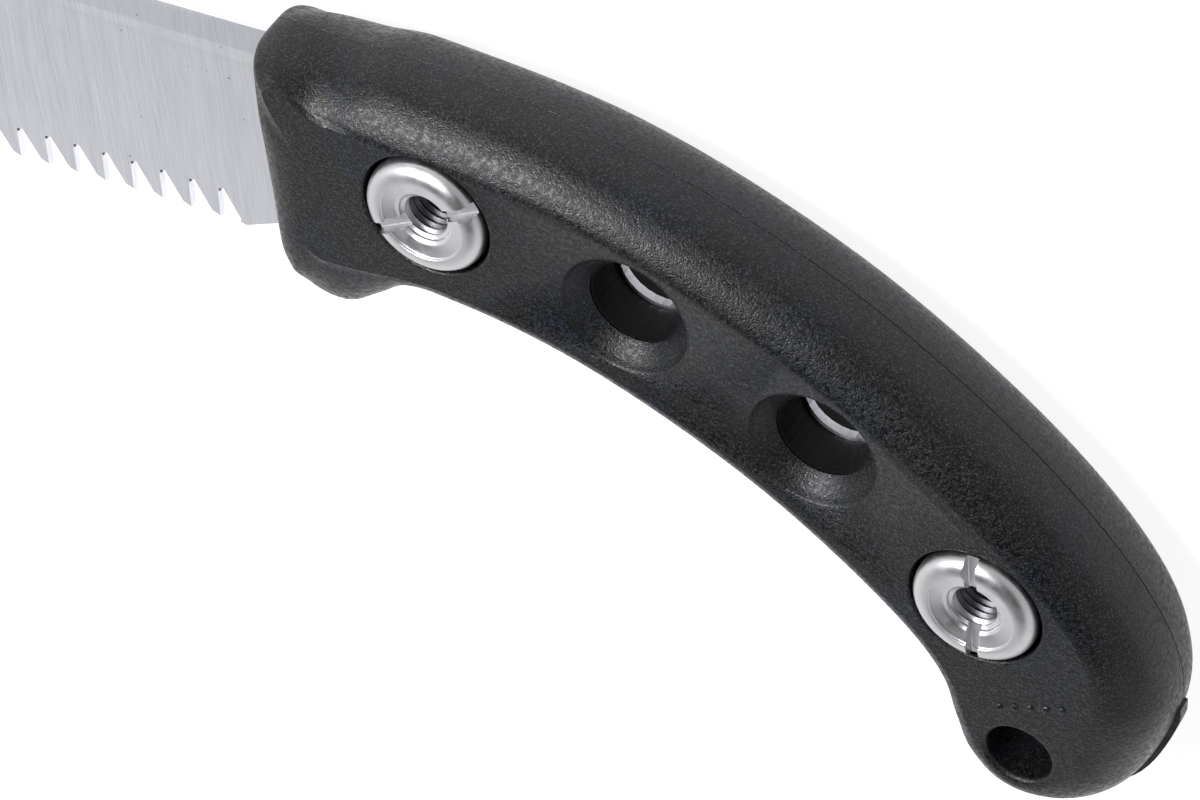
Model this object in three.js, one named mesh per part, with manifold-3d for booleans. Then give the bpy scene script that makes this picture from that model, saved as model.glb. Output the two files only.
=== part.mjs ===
// Curved pull saw with a moulded grip: toothed blade with an integral tang, rigid handle core,
// one-piece elastomer grip, and two slotted sleeve nuts with their bolts and spring washers.
//
// Design frame (millimetres): the front bolt axis is at x = 0, y = 0; +x runs towards the blade tip,
// +y from the spine towards the teeth, and +z out of the nut side. z = 0 is the blade's middle plane.
// The last lines turn and move the whole saw into its own frame, where it lies on its bolt side.
import * as THREE from 'three';
import { mergeVertices } from 'three/addons/utils/BufferGeometryUtils.js';
import Module from 'manifold-3d';

const wasm = await Module();
wasm.setup();
const DEG = Math.PI / 180;

// ---------------------------------------------------------------- driving dimensions (mm, degrees)
const GAP = 0.3;                  // clearance between pieces that touch
const HOLE_ARC_R = 147.7;         // the four bolt positions lie on this arc
const HOLE_PITCH = 12.98;         // degrees between neighbouring bolt positions

const SLEEVE_R = 6.2;             // the nut's sleeve, which passes through the tang
const SLEEVE_PLAY = 0.4;          // round the sleeve in the tang and in the washer
const BORE_PLAY = 1.0;            // round the sleeve in the core
const HEAD_R = 10.0;
const HEAD_PLAY = 0.9;            // round a head in its seat
const HEAD_CROWN = 1.6;           // dome height above the rim
const SEAT_LIP = 1.0;             // rounding where a seat meets the panel
const SINK_FLARE = 3.2;           // how much wider an unused hole's mouth is than its bore
const SINK_DEPTH = 3.0;
const SINK_LIP = 0.35;            // rounding where the flare meets the panel

const PANEL_HALF = 11.8;          // half thickness of the grip's flat side panels
const BEAD_RISE = 1.1;            // how far the spine bead stands above the panels
const CREASE_DIP = 0.35;          // how far the crease sinks below them
const NOSE_HALF = 5.8;            // half height of the flat front end
const BACK_RISE = 19.8;           // from the bolt arc out to the grip's back
const BELLY_DROP = 18.8;          // from the bolt arc in to the grip's belly
const BEAD_W = 7.6;               // width of the spine bead, crease included
const BELLY_ROUND = 5.5;          // width of the rounding beside the belly
const LANYARD_R = 5.3;
const LANYARD_DROP = 12.8;        // from the bolt arc in to the lanyard hole
const LANYARD_AFT = 10.83;        // degrees behind the rear bolt

const CORE_HALF = 8.0;            // half thickness of the rigid core
const CORE_DROP = 12.2;
const CORE_RISE = 12.3;
const CORE_FORE = 6.03;           // degrees ahead of the front bolt
const CORE_AFT = 6.73;            // degrees behind the rear bolt
const POCKET_GAP = 0.35;          // clearance round the tang

const FRONT_ANGLE = 28.0;         // the grip's front end is square to this line
const FRONT_BACK = 1.9;           // the front end stands this far behind the blade's reference
const BLADE_ANGLE = 25.7;         // the blade leaves the handle at this angle to the bolt line
const BLADE_LENGTH = 390;         // along the tooth line, from the grip's front
const BLADE_WIDTH = 42.15;        // spine to tooth tips at the heel
const BLADE_TAPER = 6.5;          // how much narrower the blade is near its nose
const TOOTH_ARC_R = 800;          // the tooth line is hollow with this radius
const TEETH_THICK = 1.4;
const SPINE_THICK = 1.1;
const TOOTH_PITCH = 5.4;
const TOOTH_DEPTH = 5.9;
const FIRST_TOOTH = 13.2;
const NOSE_START = 45;            // the nose curve begins this far before the end
const TANG_DROP = 9.7;
const TANG_RISE = 9.8;
const TANG_AFT = 4.93;            // degrees behind the rear bolt
const BLADE_ROOT = 4.2;           // depth of the full-width heel inside the grip

const SLEEVE_SHORT = 2.1;         // the sleeve stops this far short of the core's far face
const NUT_MINOR_R = 3.6;
const THREAD_DEPTH = 0.6;
const THREAD_PITCH = 1.25;
const THREAD_TURNS = 5;
const STEP_WALL = 2.0;            // from the thread out to the step in the nut's face
const SHANK_PLAY = 0.4;           // round the bolt's shank in the nut
const BOLT_TIP = 3.5;
const WASHER_INSET = 0.5;         // how much smaller a washer is than its bolt head
const WASHER_THICK = 1.6;
const SLOT_WIDTH = 2.0;
const SLOT_DEPTH = 2.1;
const NUT_SLOT_TURNS = [54, 117.6]; // where each nut's slot came to rest
const BOLT_SLOT_TURNS = [-35, 8];
const ROUND_STEPS = 28;

// ---------------------------------------------------------------- sizes that follow from them
const TANG_HOLE_R = SLEEVE_R + SLEEVE_PLAY;
const BORE_R = SLEEVE_R + BORE_PLAY;
const SEAT_R = HEAD_R + HEAD_PLAY;
const SINK_R = BORE_R + SINK_FLARE;
const SLEEVE_END = SLEEVE_SHORT - CORE_HALF;
const NUT_MAJOR_R = NUT_MINOR_R + THREAD_DEPTH;
const NUT_STEP_R = NUT_MAJOR_R + STEP_WALL;
const BOLT_SHANK_R = NUT_MINOR_R - SHANK_PLAY;
const WASHER_IN_R = SLEEVE_R + SLEEVE_PLAY;
const WASHER_OUT_R = HEAD_R - WASHER_INSET;
const SPINE_R = HOLE_ARC_R + BACK_RISE;
const BELLY_R = HOLE_ARC_R - BELLY_DROP;
const CORE_OUT_R = HOLE_ARC_R + CORE_RISE;
const CORE_IN_R = HOLE_ARC_R - CORE_DROP;
const TANG_OUT_R = HOLE_ARC_R + TANG_RISE;
const TANG_IN_R = HOLE_ARC_R - TANG_DROP;

// ---------------------------------------------------------------- arc frame of the handle
const halfSpan = 1.5 * HOLE_PITCH;
const arcCentre = new THREE.Vector2(
  -HOLE_ARC_R * Math.sin(halfSpan * DEG),
  HOLE_ARC_R * Math.cos(halfSpan * DEG),
);

/** Point at an angle (positive towards the blade) and radius about the handle's arc centre. */
function polar(angle, radius) {
  return new THREE.Vector2(
    arcCentre.x + radius * Math.sin(angle * DEG),
    arcCentre.y - radius * Math.cos(angle * DEG),
  );
}

/** Angle that keeps its place between the end bolts when their spacing changes. */
const DRAWN_SPAN = 19.47;
const inside = (degrees) => degrees * halfSpan / DRAWN_SPAN;

/** Angle this many degrees ahead of the front bolt, and behind the rear one. */
const fore = (degrees) => halfSpan + degrees;
const aft = (degrees) => -halfSpan - degrees;
const CORE_FRONT = fore(CORE_FORE);
const CORE_REAR = aft(CORE_AFT);
const TANG_REAR = aft(TANG_AFT);

const boltAngles = [0, 1, 2, 3].map((i) => halfSpan - i * HOLE_PITCH);
const holes = boltAngles.map((angle) => polar(angle, HOLE_ARC_R));
const boltHoles = [holes[0], holes[3]];
const openHoles = [holes[1], holes[2]];
const lanyard = polar(aft(LANYARD_AFT), HOLE_ARC_R - LANYARD_DROP);

// ---------------------------------------------------------------- blade frame
const bladeAlong = new THREE.Vector2(Math.cos(BLADE_ANGLE * DEG), Math.sin(BLADE_ANGLE * DEG));
const bladeAcross = new THREE.Vector2(-bladeAlong.y, bladeAlong.x);
const bladeOrigin = polar(fore(12.2), SPINE_R - 4.4);

/** Point s along the tooth line and w from the spine; the blade is bent beyond the grip's front. */
function blade(s, w) {
  let along = s;
  let across = w;
  if (s > 0) {
    const radius = TOOTH_ARC_R + BLADE_WIDTH - w;
    along = radius * Math.sin(s / TOOTH_ARC_R);
    across = BLADE_WIDTH + TOOTH_ARC_R - radius * Math.cos(s / TOOTH_ARC_R);
  }
  return bladeOrigin.clone().addScaledVector(bladeAlong, along).addScaledVector(bladeAcross, across);
}

/** Point s ahead of the grip's front end and w down it from the blade's spine. */
function front(s, w) {
  const along = new THREE.Vector2(Math.cos(FRONT_ANGLE * DEG), Math.sin(FRONT_ANGLE * DEG));
  const across = new THREE.Vector2(-along.y, along.x);
  return bladeOrigin.clone().addScaledVector(along, s - FRONT_BACK).addScaledVector(across, w);
}

/** Distance of the spine from the untapered spine line at s. */
const spineAt = (s) => (s > 0 ? BLADE_TAPER * s / BLADE_LENGTH : 0);

// ---------------------------------------------------------------- solids
/** The same triangles with nothing but their positions, so that shared corners merge. */
function bare(geometry) {
  const copy = geometry.clone();
  copy.deleteAttribute('normal');
  copy.deleteAttribute('uv');
  return copy;
}

function toManifold(geometry) {
  const merged = mergeVertices(bare(geometry), 1e-4);
  return new wasm.Manifold(new wasm.Mesh({
    numProp: 3,
    vertProperties: new Float32Array(merged.attributes.position.array),
    triVerts: new Uint32Array(merged.index.array),
  }));
}

function toGeometry(solid) {
  const mesh = solid.getMesh();
  const geometry = new THREE.BufferGeometry();
  geometry.setAttribute('position', new THREE.BufferAttribute(mesh.vertProperties, 3));
  geometry.setIndex(new THREE.BufferAttribute(mesh.triVerts, 1));
  geometry.computeVertexNormals();
  return geometry;
}

/** A flat outline made into a plate from z = low to z = high. */
function plate(points, low, high, openings = []) {
  const shape = new THREE.Shape(points);
  shape.holes = openings.map(({ centre, radius }) => {
    const path = new THREE.Path();
    path.absarc(centre.x, centre.y, radius, 0, 2 * Math.PI, true);
    return path;
  });
  const geometry = new THREE.ExtrudeGeometry(shape, {
    depth: high - low, bevelEnabled: false, curveSegments: ROUND_STEPS / 2,
  });
  return toManifold(geometry.translate(0, 0, low));
}

/** A round piece turned from [radius, z] points about a vertical axis through centre. */
function turned(profile, centre, steps = ROUND_STEPS) {
  const points = profile.map(([radius, z]) => new THREE.Vector2(radius, z));
  const geometry = new THREE.LatheGeometry(points, steps);
  geometry.rotateX(Math.PI / 2);
  geometry.translate(centre.x, centre.y, 0);
  return toManifold(outward(geometry));
}

/** Turns a closed mesh's triangles round when they point inwards. */
function outward(geometry) {
  const position = geometry.attributes.position;
  const index = geometry.index.array;
  const [a, b, c] = [0, 1, 2].map(() => new THREE.Vector3());
  let volume = 0;
  for (let i = 0; i < index.length; i += 3) {
    a.fromBufferAttribute(position, index[i]);
    b.fromBufferAttribute(position, index[i + 1]);
    c.fromBufferAttribute(position, index[i + 2]);
    volume += a.dot(b.cross(c));
  }
  if (volume < 0) {
    for (let i = 0; i < index.length; i += 3) {
      [index[i], index[i + 1]] = [index[i + 1], index[i]];
    }
  }
  return geometry;
}

const drill = (centre, radius, low, high) => turned(
  [[0, low], [radius, low], [radius, high], [0, high]], centre,
);

function box(width, depth, height, centre, turn, z) {
  const geometry = new THREE.BoxGeometry(width, depth, height);
  geometry.rotateZ(turn * DEG);
  geometry.translate(centre.x, centre.y, z);
  return toManifold(geometry);
}

/** Points on an arc about the handle's centre, ends included. */
function arc(from, to, radius, steps) {
  return Array.from({ length: steps + 1 }, (_, i) => polar(from + (to - from) * i / steps, radius));
}

// ---------------------------------------------------------------- grip
// Stations round the grip's outline. Each has a point on the middle plane (outer), the matching point
// on the edge of the flat panel (inner), and the section that joins them.
const panelOut = SPINE_R - BEAD_W;
const panelIn = BELLY_R + BELLY_ROUND;
const STATIONS = [
  { outer: front(0, -1.0), inner: front(-8.5, 8.6), section: 'corner' },
  { outer: front(-3.4, -3.2), inner: polar(fore(6.53), panelOut - 0.2), section: 'bead' },
  { outer: polar(fore(3.53), SPINE_R - 2.0), inner: polar(fore(3.03), panelOut), section: 'bead' },
  { outer: polar(inside(11.0), SPINE_R - 0.6), inner: polar(inside(11.0), panelOut), section: 'bead' },
  { outer: polar(inside(-2.0), SPINE_R), inner: polar(inside(-2.0), panelOut), section: 'bead' },
  { outer: polar(inside(-14.0), SPINE_R - 0.2), inner: polar(inside(-14.0), panelOut), section: 'bead' },
  { outer: polar(aft(3.03), SPINE_R - 1.2), inner: polar(aft(2.03), panelOut - 0.4), section: 'bead' },
  { outer: polar(aft(8.03), SPINE_R - 3.6), inner: polar(aft(6.13), panelOut - 3.0), section: 'bead' },
  { outer: polar(aft(11.53), SPINE_R - 8.2), inner: polar(aft(8.83), panelOut - 8.4), section: 'butt' },
  { outer: polar(aft(14.33), SPINE_R - 16.0), inner: polar(aft(10.93), panelOut - 14.0), section: 'butt' },
  { outer: polar(aft(16.43), SPINE_R - 24.5), inner: polar(aft(12.53), panelIn + 8.0), section: 'butt' },
  { outer: polar(aft(16.83), BELLY_R + 6.6), inner: polar(aft(13.43), panelIn + 2.5), section: 'butt' },
  { outer: polar(aft(15.53), BELLY_R + 0.2), inner: polar(aft(13.53), panelIn - 2.0), section: 'butt' },
  { outer: polar(aft(13.13), BELLY_R - 4.8), inner: polar(aft(12.53), panelIn - 4.9), section: 'butt' },
  { outer: polar(aft(10.13), BELLY_R - 6.2), inner: polar(aft(10.13), panelIn - 5.8), section: 'butt' },
  { outer: polar(aft(7.13), BELLY_R - 4.4), inner: polar(aft(7.53), panelIn - 4.4), section: 'belly' },
  { outer: polar(aft(3.93), BELLY_R - 1.2), inner: polar(aft(4.13), panelIn - 1.3), section: 'belly' },
  { outer: polar(inside(-19.0), BELLY_R), inner: polar(inside(-19.0), panelIn), section: 'belly' },
  { outer: polar(inside(-6.0), BELLY_R), inner: polar(inside(-6.0), panelIn), section: 'belly' },
  { outer: polar(inside(8.0), BELLY_R), inner: polar(inside(8.0), panelIn), section: 'belly' },
  { outer: polar(inside(17.5), BELLY_R - 0.6), inner: polar(inside(17.5), panelIn - 0.8), section: 'belly' },
  { outer: polar(fore(2.03), BELLY_R - 3.4), inner: polar(fore(1.33), panelIn - 1.9), section: 'lobe' },
  { outer: polar(fore(5.13), BELLY_R - 9.6), inner: polar(fore(3.93), panelIn - 2.9), section: 'lobe' },
  { outer: front(-9.4, BLADE_WIDTH + 5.85), inner: polar(fore(6.13), panelIn - 3.2), section: 'lobe' },
  { outer: front(-3.4, BLADE_WIDTH + 4.25), inner: front(-14.2, BLADE_WIDTH - 11.25), section: 'lobe' },
  { outer: front(-0.4, BLADE_WIDTH + 0.25), inner: front(-11.0, BLADE_WIDTH - 12.95), section: 'chin' },
  { outer: front(0, BLADE_WIDTH - 6.15), inner: front(-9.6, BLADE_WIDTH - 16.55), section: 'front' },
  { outer: front(0, BLADE_WIDTH - 18.15), inner: front(-9.2, BLADE_WIDTH - 21.95), section: 'front' },
  { outer: front(0, 10.0), inner: front(-8.9, 13.4), section: 'front' },
];

// Sections from the middle plane up to the panel: share of the way in, and height. They are drawn
// for a panel at DRAWN_HALF and stretched to the real one.
const DRAWN_HALF = 11.8;
const SECTIONS = {
  bead: [
    [0, 0], [0.06, 5.2], [0.2, 9.2], [0.4, 11.9],
    [0.62, DRAWN_HALF + BEAD_RISE], [0.8, DRAWN_HALF + 0.5 * BEAD_RISE],
    [0.93, DRAWN_HALF - CREASE_DIP], [1, DRAWN_HALF],
  ],
  corner: [
    [0, 0], [0, 1.8], [0.01, 3.5], [0.02, 4.8], [0.04, 6.2], [0.07, 7.0],
    [0.16, 8.0], [1, DRAWN_HALF],
  ],
  front: [
    [0, 0], [0, 0.5 * NOSE_HALF], [0.02, NOSE_HALF], [0.12, 8.4], [0.3, 10.2],
    [0.52, 11.2], [0.76, DRAWN_HALF - 0.12], [1, DRAWN_HALF],
  ],
  butt: [
    [0, 0], [0.05, 4.0], [0.19, 7.2], [0.4, 9.6], [0.62, 10.9],
    [0.8, 11.5], [0.92, DRAWN_HALF - 0.08], [1, DRAWN_HALF],
  ],
  belly: [
    [0, 0], [0.08, 4.2], [0.24, 7.4], [0.45, 9.7], [0.66, 11.0],
    [0.83, 11.5], [0.94, DRAWN_HALF - 0.08], [1, DRAWN_HALF],
  ],
  chin: [
    [0, 0], [0.02, 2.8], [0.08, 5.2], [0.18, 7.2], [0.36, 9.2],
    [0.58, 10.7], [0.8, DRAWN_HALF - 0.3], [1, DRAWN_HALF],
  ],
  lobe: [
    [0, 0], [0.06, 2.6], [0.2, 4.9], [0.38, 6.7], [0.58, 8.5],
    [0.76, 10.1], [0.91, DRAWN_HALF - 0.4], [1, DRAWN_HALF],
  ],
};
const STEPS_PER_STATION = 3;
const RIB_HEIGHT = 0.8;           // moulding rib left along the middle of the butt
const RIB_HALF = 1.3;

/** The grip's outer skin as a closed solid, before anything is cut from it. */
function gripSkin() {
  const count = STATIONS.length * STEPS_PER_STATION;
  const asCurve = (key) => new THREE.CatmullRomCurve3(
    STATIONS.map((station) => new THREE.Vector3(station[key].x, station[key].y, 0)),
    true, 'centripetal',
  );
  const outer = asCurve('outer');
  const inner = asCurve('inner');
  const levels = SECTIONS.bead.length;
  const rings = [];
  for (let level = -(levels - 1); level <= levels - 1; level += 1) {
    const ring = [];
    for (let i = 0; i < count; i += 1) {
      const station = Math.floor(i / STEPS_PER_STATION);
      const part = (i % STEPS_PER_STATION) / STEPS_PER_STATION;
      const blend = part * part * (3 - 2 * part);
      const here = SECTIONS[STATIONS[station].section][Math.abs(level)];
      const next = SECTIONS[STATIONS[(station + 1) % STATIONS.length].section][Math.abs(level)];
      const share = here[0] + (next[0] - here[0]) * blend;
      const height = here[1] + (next[1] - here[1]) * blend;
      const point = outer.getPoint(i / count).lerp(inner.getPoint(i / count), share);
      point.z = Math.sign(level) * height * PANEL_HALF / DRAWN_HALF;
      ring.push(point);
    }
    rings.push(ring);
  }
  const vertices = rings.flat();
  const index = [];
  for (let row = 0; row < rings.length - 1; row += 1) {
    for (let i = 0; i < count; i += 1) {
      const a = row * count + i;
      const b = row * count + (i + 1) % count;
      index.push(a, b, b + count, a, b + count, a + count);
    }
  }
  const cap = THREE.ShapeUtils.triangulateShape(rings[0].map((p) => new THREE.Vector2(p.x, p.y)), []);
  const top = (rings.length - 1) * count;
  for (const [a, b, c] of cap) {
    index.push(a, b, c, top + a, top + c, top + b);
  }
  const geometry = new THREE.BufferGeometry().setFromPoints(vertices);
  geometry.setIndex(index);
  return { solid: toManifold(outward(geometry)), outer };
}

/** Flared mouth of an unused hole, on both faces, with the bore between them. */
function openHoleCut(centre) {
  const flare = SINK_R - BORE_R;
  const mouth = (side) => turned([
    [0, side * (PANEL_HALF + 1)], [SINK_R + SINK_LIP, side * (PANEL_HALF + 1)],
    [SINK_R + SINK_LIP, side * PANEL_HALF], [SINK_R, side * (PANEL_HALF - SINK_LIP)],
    [SINK_R - 0.3 * flare, side * (PANEL_HALF - 0.36 * SINK_DEPTH)],
    [SINK_R - 0.68 * flare, side * (PANEL_HALF - 0.7 * SINK_DEPTH)],
    [BORE_R, side * (PANEL_HALF - SINK_DEPTH)], [0, side * (PANEL_HALF - SINK_DEPTH)],
  ], centre);
  return drill(centre, BORE_R, -PANEL_HALF, PANEL_HALF).add(mouth(1)).add(mouth(-1));
}

/** Seat of a nut or bolt head on one face, from the core out through the panel. */
function seatCut(centre, side) {
  const lip = SEAT_LIP;
  return turned([
    [0, side * CORE_HALF], [SEAT_R, side * CORE_HALF],
    [SEAT_R, side * (PANEL_HALF - lip)],
    [SEAT_R + 0.3 * lip, side * (PANEL_HALF - 0.3 * lip)],
    [SEAT_R + lip, side * PANEL_HALF],
    [SEAT_R + lip, side * (PANEL_HALF + 2)], [0, side * (PANEL_HALF + 2)],
  ], centre);
}

/** Outline of the tang and the blade's heel, grown by a margin. */
function tangOutline(margin) {
  const out = TANG_OUT_R + margin;
  const low = TANG_IN_R - margin;
  const middle = (TANG_IN_R + TANG_OUT_R) / 2;
  const end = [];
  for (let i = 1; i < 8; i += 1) {
    const turn = (i / 8) * 180 * DEG;
    const reach = (TANG_OUT_R - TANG_IN_R) / 2 + margin;
    end.push(polar(
      TANG_REAR + (reach * (1 - Math.sin(turn)) - margin) / middle / DEG,
      middle - reach * Math.cos(turn),
    ));
  }
  return {
    bottom: [
      blade(-BLADE_ROOT - margin, BLADE_WIDTH - 5.0 + margin),
      blade(-BLADE_ROOT - 3 - margin, BLADE_WIDTH - 9.0 + margin),
      ...arc(fore(7.73), TANG_REAR + 3.8, low, 12),
    ],
    end,
    top: [
      ...arc(TANG_REAR + 3.8, fore(8.03), out, 12),
      blade(-BLADE_ROOT - 2.6 - margin, 2.4 - margin),
      blade(-BLADE_ROOT - margin, -margin),
    ],
  };
}

/** The pocket that the tang and heel slide into, open at the front. */
function tangPocket() {
  const { bottom, end, top } = tangOutline(POCKET_GAP);
  const mouth = [blade(6, -POCKET_GAP), blade(6, BLADE_WIDTH + POCKET_GAP)];
  const half = TEETH_THICK / 2 + POCKET_GAP;
  return plate([...bottom, ...end, ...top, ...mouth], -half, half);
}

function grip() {
  const { solid: skin, outer } = gripSkin();
  const cavity = plate(
    [
      ...arc(CORE_REAR - 0.15, CORE_FRONT + 0.15, CORE_OUT_R + GAP, 20),
      ...arc(CORE_FRONT + 0.15, CORE_REAR - 0.15, CORE_IN_R - GAP, 20),
    ],
    -CORE_HALF - GAP, CORE_HALF + GAP,
  );
  let body = skin.add(buttRib(outer)).subtract(cavity).subtract(tangPocket());
  for (const centre of boltHoles) {
    body = body.subtract(seatCut(centre, 1)).subtract(seatCut(centre, -1));
  }
  for (const centre of openHoles) body = body.subtract(openHoleCut(centre));
  return body.subtract(lanyardCut());
}

/** Cord hole with a small chamfer on both faces. */
function lanyardCut() {
  const chamfer = 0.7;
  return turned([
    [0, -PANEL_HALF - 1], [LANYARD_R + chamfer + 1, -PANEL_HALF - 1],
    [LANYARD_R, -PANEL_HALF + chamfer], [LANYARD_R, PANEL_HALF - chamfer],
    [LANYARD_R + chamfer + 1, PANEL_HALF + 1], [0, PANEL_HALF + 1],
  ], lanyard, 24);
}

/** Low rib along the middle plane of the butt. */
function buttRib(outer) {
  const from = 8.2 / STATIONS.length;
  const to = 11.4 / STATIONS.length;
  const steps = 8;
  const edge = [];
  const root = [];
  for (let i = 0; i <= steps; i += 1) {
    const t = from + (to - from) * i / steps;
    const point = outer.getPoint(t);
    const tangent = outer.getTangent(t);
    const out = new THREE.Vector2(tangent.y, -tangent.x);
    if (out.dot(new THREE.Vector2(point.x - arcCentre.x / 2, point.y)) < 0) out.negate();
    const height = RIB_HEIGHT * Math.min(1, 4 * (1 - i / steps)) * Math.min(1, 8 * (i / steps) + 0.5);
    edge.push(new THREE.Vector2(point.x, point.y).addScaledVector(out, Math.max(height, 0.05)));
    root.push(new THREE.Vector2(point.x, point.y).addScaledVector(out, -2));
  }
  return plate([...edge, ...root.reverse()], -RIB_HALF, RIB_HALF);
}

// ---------------------------------------------------------------- core
function core() {
  let body = plate(
    [...arc(CORE_REAR, CORE_FRONT, CORE_OUT_R, 20), ...arc(CORE_FRONT, CORE_REAR, CORE_IN_R, 20)],
    -CORE_HALF, CORE_HALF, holes.map((centre) => ({ centre, radius: BORE_R })),
  );
  body = body.subtract(tangPocket());
  return body;
}

// ---------------------------------------------------------------- blade
const toothCount = Math.floor((BLADE_LENGTH - 9 - FIRST_TOOTH) / TOOTH_PITCH) + 1;
const gulletW = BLADE_WIDTH - TOOTH_DEPTH;
const shoulderRise = 1.0;         // the short top facet ends this far below the tip line

/** Corners of one tooth, from its rear gullet to its front gullet, in the blade's own frame. */
function toothCorners(tip) {
  return {
    rear: [tip - 0.4, gulletW],
    tip: [tip, BLADE_WIDTH],
    shoulder: [tip + 2.2, BLADE_WIDTH - shoulderRise],
    foot: [tip + TOOTH_PITCH - 0.9, gulletW - 0.2],
  };
}

function bladeOutline() {
  const points = [];
  const noseSteps = 9;
  const spineSteps = 14;
  const last = BLADE_LENGTH - NOSE_START;
  for (let i = 0; i <= spineSteps; i += 1) {
    const s = last * i / spineSteps;
    points.push(blade(s, spineAt(s)));
  }
  const nose = new THREE.CubicBezierCurve(
    new THREE.Vector2(last, spineAt(last)),
    new THREE.Vector2(last + 0.55 * NOSE_START, spineAt(last) + 0.6),
    new THREE.Vector2(BLADE_LENGTH - 1.5, spineAt(last) + 14),
    new THREE.Vector2(BLADE_LENGTH, BLADE_WIDTH - 3.5),
  );
  for (let i = 1; i <= noseSteps; i += 1) {
    const point = nose.getPoint(i / noseSteps);
    points.push(blade(point.x, point.y));
  }
  points.push(blade(BLADE_LENGTH - 1.4, BLADE_WIDTH - 1.1));
  points.push(blade(BLADE_LENGTH - 4.2, BLADE_WIDTH));
  for (let i = toothCount - 1; i >= 0; i -= 1) {
    const corners = toothCorners(FIRST_TOOTH + i * TOOTH_PITCH);
    points.push(blade(...corners.foot), blade(...corners.shoulder));
    points.push(blade(...corners.tip), blade(...corners.rear));
  }
  const heel = toothCorners(FIRST_TOOTH - TOOTH_PITCH);
  points.push(blade(...heel.foot), blade(...heel.shoulder));
  points.push(blade(FIRST_TOOTH - 4.8, BLADE_WIDTH - 0.5));
  points.push(blade(1.6, BLADE_WIDTH - 3.45));
  const { bottom, end, top } = tangOutline(0);
  points.push(...bottom, ...end, ...top);
  return points;
}

/** A long wedge that bevels one edge of a tooth on one face. */
function bevelCut(from, to, side, width, depth) {
  const a = blade(...from);
  const b = blade(...to);
  const along = b.clone().sub(a);
  const length = along.length();
  along.normalize();
  const inward = new THREE.Vector2(-along.y, along.x);
  const top = TEETH_THICK / 2;
  const section = new THREE.Shape([
    new THREE.Vector2(-0.2, top + 0.2),
    new THREE.Vector2(-0.2, top - depth - 0.2 * depth / width),
    new THREE.Vector2(width * (1 + 0.2 / depth), top + 0.2),
  ]);
  const geometry = new THREE.ExtrudeGeometry(section, { depth: length, bevelEnabled: false });
  const frame = new THREE.Matrix4().makeBasis(
    new THREE.Vector3(inward.x, inward.y, 0),
    new THREE.Vector3(0, 0, side),
    new THREE.Vector3(along.x, along.y, 0),
  );
  frame.setPosition(a.x, a.y, 0);
  geometry.applyMatrix4(frame);
  return toManifold(outward(mergeVertices(bare(geometry))));
}

function sawBlade() {
  const half = TEETH_THICK / 2;
  const openings = holes.map((centre) => ({ centre, radius: TANG_HOLE_R }));
  let body = plate(bladeOutline(), -half, half, openings);
  for (let i = -1; i < toothCount; i += 1) {
    const { tip, shoulder, foot } = toothCorners(FIRST_TOOTH + i * TOOTH_PITCH);
    for (const side of [1, -1]) {
      body = body.subtract(bevelCut([foot[0] + 0.2, foot[1] - 0.5],
        [shoulder[0] - 0.12, shoulder[1] + 0.28], side, 0.95, 0.75));
      if (i >= 0) {
        body = body.subtract(bevelCut([shoulder[0] + 0.3, shoulder[1] - 0.15],
          [tip[0] - 0.3, tip[1] + 0.15], side, 0.7, 0.75));
      }
    }
  }
  return grindTaper(toGeometry(body));
}

/** Grinds the blade thinner from its teeth to its spine, beyond the grip. */
function grindTaper(geometry) {
  const position = geometry.attributes.position;
  const centre = BLADE_WIDTH + TOOTH_ARC_R;
  const offset = new THREE.Vector2();
  for (let i = 0; i < position.count; i += 1) {
    offset.set(position.getX(i) - bladeOrigin.x, position.getY(i) - bladeOrigin.y);
    const along = offset.dot(bladeAlong);
    const across = offset.dot(bladeAcross);
    const depth = along > 0 ? centre - Math.hypot(along, centre - across) : across;
    const share = THREE.MathUtils.clamp(1 - depth / gulletW, 0, 1);
    if (along > -BLADE_ROOT - 0.1) {
      position.setZ(i, position.getZ(i) * (1 + share * (SPINE_THICK / TEETH_THICK - 1)));
    }
  }
  geometry.computeVertexNormals();
  return geometry;
}

// ---------------------------------------------------------------- fasteners
const nutSeat = CORE_HALF + GAP;
const boltSeat = -CORE_HALF - 2 * GAP - WASHER_THICK - GAP;

function slotCut(centre, turn, z) {
  return box(2.2 * HEAD_R, SLOT_WIDTH, 2 * SLOT_DEPTH, centre, turn, z);
}

/** Sleeve nut: domed ring head, threaded bore, long plain sleeve. */
function sleeveNut(centre, turn) {
  const rim = PANEL_HALF;
  const crown = rim + HEAD_CROWN;
  const profile = [
    [NUT_MINOR_R, SLEEVE_END], [SLEEVE_R, SLEEVE_END], [SLEEVE_R, nutSeat], [HEAD_R - 0.4, nutSeat],
    [HEAD_R, nutSeat + 0.5], [HEAD_R, rim - 0.4], [HEAD_R - 0.35, rim + 0.25],
    [HEAD_R - 1.2, rim + 0.62 * HEAD_CROWN], [HEAD_R - 2.4, rim + 0.88 * HEAD_CROWN],
    [NUT_STEP_R + 0.2, crown], [NUT_STEP_R, crown - 0.3], [NUT_MAJOR_R + 0.1, crown - 1.2],
  ];
  const start = crown - 1.8;
  for (let turnNo = 0; turnNo < THREAD_TURNS; turnNo += 1) {
    const z = start - turnNo * THREAD_PITCH;
    profile.push([NUT_MINOR_R, z], [NUT_MAJOR_R, z - THREAD_PITCH / 2]);
  }
  profile.push([NUT_MINOR_R, start - THREAD_TURNS * THREAD_PITCH], profile[0]);
  return turned(profile, centre).subtract(slotCut(centre, turn, crown));
}

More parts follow.
